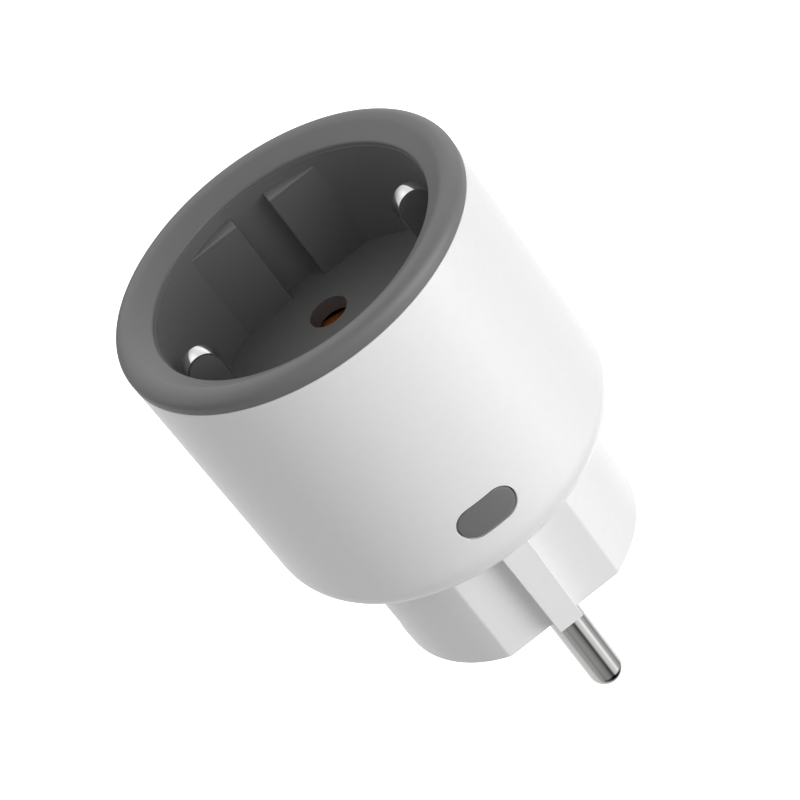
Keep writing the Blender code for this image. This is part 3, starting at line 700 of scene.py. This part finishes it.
def make_button(finishes):
    """A cap that follows the housing's curve, with a rounded edge."""
    edge = BUTTON_EDGE
    face_radius = -BUTTON_LOW.y
    outline_steps = 96
    directions = [math.tau * step / outline_steps for step in range(outline_steps)]
    shape = bmesh.new()

    def ring(inset, sunk):
        made = []
        for angle in directions:
            reach = stadium_reach(
                angle,
                OPENING_HALF_LENGTH - BUTTON_CLEARANCE - inset,
                OPENING_HALF_HEIGHT - BUTTON_CLEARANCE - inset,
            )
            along, up = reach * math.cos(angle), reach * math.sin(angle)
            made.append(shape.verts.new(rolled(along, up, face_radius - sunk)))
        return made

    loops = [ring(0, BUTTON_DEPTH), ring(0, 1.0)]
    for step in range(6):
        angle = math.radians(90 * step / 5)
        loops.append(ring(edge * (1 - math.cos(angle)), edge * (1 - math.sin(angle))))
    for inset in BUTTON_FACE_INSETS:
        loops.append(ring(inset, 0))
    for first, second in zip(loops, loops[1:]):
        for index in range(outline_steps):
            after = (index + 1) % outline_steps
            shape.faces.new((first[index], first[after], second[after], second[index]))
    shape.faces.new(loops[0])
    middle = loops[-1]
    for index in range(outline_steps // 2):
        corners = (middle[index], middle[index + 1], middle[-index - 1], middle[-index])
        shape.faces.new(list(dict.fromkeys(corners)))
    button = make_object("button_face", shape)
    stud_low, stud_high = BUTTON_STUD
    stud = [(0, stud_low), (BUTTON_STUD_RADIUS, stud_low), (BUTTON_STUD_RADIUS, stud_high), (0, stud_high)]
    plunger = turned(revolve(stud, steps=48), "X", 90)
    bmesh.ops.translate(plunger, vec=(0, 0, BUTTON_HEIGHT), verts=plunger.verts)
    heights = (BUTTON_LOW.z, BUTTON_HIGH.z)
    lug = block((-BUTTON_LUG_HALF_LENGTH, BUTTON_LUG_HALF_LENGTH), BUTTON_LUG, heights, BUTTON_LUG_EDGE)
    combine(button, "UNION", [lug, plunger])
    return finished(button, finishes["dark_grey_plastic"], "button", ["button_cap"])


# ---------------------------------------------------------------- CAD nodes that stay


def dress_cad_nodes(finishes):
    slots = {part["node"]: part["material_slot"] for part in frame["record"]["subparts"]}
    for name, node in frame["nodes"].items():
        if node.hide_render:
            continue
        node.data.materials.clear()
        node.data.materials.append(finishes[slots[name]])
        node.data.shade_smooth()
        node.data.set_sharp_from_angle(angle=math.radians(35))


# ---------------------------------------------------------------- studio


CAMERA_AZIMUTH = -0.575
CAMERA_ELEVATION = 35.852
CAMERA_ROLL = -37.633
CAMERA_PLACE = (-2.59, -281.92, 235.62)
CAMERA_LENS = 123.14
FLOOR_RADIUS = 3000
FLOOR_DROP = 450
FLOOR_COLOUR = (0.9, 0.9, 0.9, 1)


def direction(azimuth, elevation):
    """Unit vector towards an azimuth, 0 from the front and 90 from the right, and an elevation."""
    a, e = math.radians(azimuth), math.radians(elevation)
    return Vector((math.sin(a) * math.cos(e), -math.cos(a) * math.cos(e), math.sin(e)))


def make_camera():
    data = bpy.data.cameras.new("camera")
    data.lens = CAMERA_LENS
    data.sensor_width = 36
    data.clip_start = 0.01
    camera = bpy.data.objects.new("camera", data)
    back = direction(CAMERA_AZIMUTH, CAMERA_ELEVATION)
    level = back.to_track_quat("Z", "Y")
    camera.rotation_mode = "QUATERNION"
    camera.rotation_quaternion = level @ Quaternion((0, 0, 1), math.radians(CAMERA_ROLL))
    camera.location = Vector(CAMERA_PLACE) * MM
    bpy.context.scene.collection.objects.link(camera)
    bpy.context.scene.camera = camera


def make_floor():
    shape = revolve([(0, 0), (FLOOR_RADIUS / 2, 0), (FLOOR_RADIUS, 0)], steps=64)
    floor = make_object("studio_floor", shape)
    floor.location.z = -FLOOR_DROP * MM
    made = bpy.data.materials.new("studio_floor")
    made.use_nodes = True
    shader = made.node_tree.nodes["Principled BSDF"]
    shader.inputs["Base Color"].default_value = FLOOR_COLOUR
    shader.inputs["Roughness"].default_value = 0.9
    shader.inputs["Emission Color"].default_value = (1, 1, 1, 1)
    shader.inputs["Emission Strength"].default_value = 1.0
    floor.data.materials.append(made)
    floor.visible_diffuse = False
    floor.visible_glossy = False
    floor.visible_shadow = False


# The brightness of the plain wall that the camera sees behind the object.
BACKDROP = 0.92
# The outer angle of a soft light in degrees, and the share of it that is at full strength.
LARGE_LIGHT = (55, 0.15)
SMALL_LIGHT = (26, 0.4)
# How bright the soft lights are.
KEY = 4.2
BACK_HIGH = 1.3
BACK_LOW = 1.0
FILL = 0.6
WEAK = 0.4
# Name, azimuth, elevation, size and brightness.
SOFT_LIGHTS = (
    ("key", 40, 15, SMALL_LIGHT, KEY),
    ("key_low", 60, -10, SMALL_LIGHT, KEY),
    ("right_low", 45, -35, SMALL_LIGHT, BACK_LOW),
    ("right_low_far", 75, -35, SMALL_LIGHT, FILL),
    ("front_high", 0, 40, LARGE_LIGHT, FILL),
    ("front_left", -30, -10, LARGE_LIGHT, FILL),
    ("left_low", -80, -35, SMALL_LIGHT, WEAK),
    ("back_left", -120, 40, LARGE_LIGHT, BACK_HIGH),
    ("back_right", 150, 40, LARGE_LIGHT, BACK_HIGH),
    ("back_left_low", -150, -50, LARGE_LIGHT, BACK_LOW),
    ("back_right_low", 150, -20, LARGE_LIGHT, BACK_LOW),
    ("below", 135, -60, SMALL_LIGHT, WEAK),
)


def make_world():
    """A room with soft lights in it, each a smooth round glow. The camera sees plain pale walls."""
    world = bpy.data.worlds.new("studio")
    world.use_nodes = True
    nodes, links = world.node_tree.nodes, world.node_tree.links
    nodes.clear()
    place = nodes.new("ShaderNodeTexCoord")
    total = None
    for name, azimuth, elevation, (spread, core), strength in SOFT_LIGHTS:
        facing = nodes.new("ShaderNodeVectorMath")
        facing.name = name
        facing.operation = "DOT_PRODUCT"
        facing.inputs[1].default_value = direction(azimuth, elevation)
        links.new(place.outputs["Generated"], facing.inputs[0])
        glow = nodes.new("ShaderNodeMapRange")
        glow.interpolation_type = "SMOOTHSTEP"
        glow.inputs["From Min"].default_value = math.cos(math.radians(spread))
        glow.inputs["From Max"].default_value = math.cos(math.radians(spread * core))
        glow.inputs["To Min"].default_value = 0.0
        glow.inputs["To Max"].default_value = strength
        links.new(facing.outputs["Value"], glow.inputs["Value"])
        added = nodes.new("ShaderNodeMath")
        added.inputs[1].default_value = 0.0
        links.new(glow.outputs["Result"], added.inputs[0])
        if total:
            links.new(total, added.inputs[1])
        total = added.outputs["Value"]
    seen = nodes.new("ShaderNodeLightPath")
    backdrop = nodes.new("ShaderNodeMix")
    backdrop.inputs["B"].default_value = BACKDROP
    links.new(seen.outputs["Is Camera Ray"], backdrop.inputs["Factor"])
    links.new(total, backdrop.inputs["A"])
    background = nodes.new("ShaderNodeBackground")
    links.new(backdrop.outputs["Result"], background.inputs["Strength"])
    output = nodes.new("ShaderNodeOutputWorld")
    links.new(background.outputs["Background"], output.inputs["Surface"])
    bpy.context.scene.world = world


def make_studio():
    make_floor()
    make_world()
    view = bpy.context.scene.view_settings
    view.view_transform = "Standard"
    view.look = "None"


def main():
    make_camera()
    finishes = make_finishes()
    make_housing(finishes)
    make_cap(finishes)
    for name, side in (("right", 1), ("left", -1)):
        make_earth_clip(finishes, name, side)
        make_side_contact(finishes, name, side)
    make_pins(finishes)
    make_base(finishes)
    make_button(finishes)
    dress_cad_nodes(finishes)
    make_studio()


main()
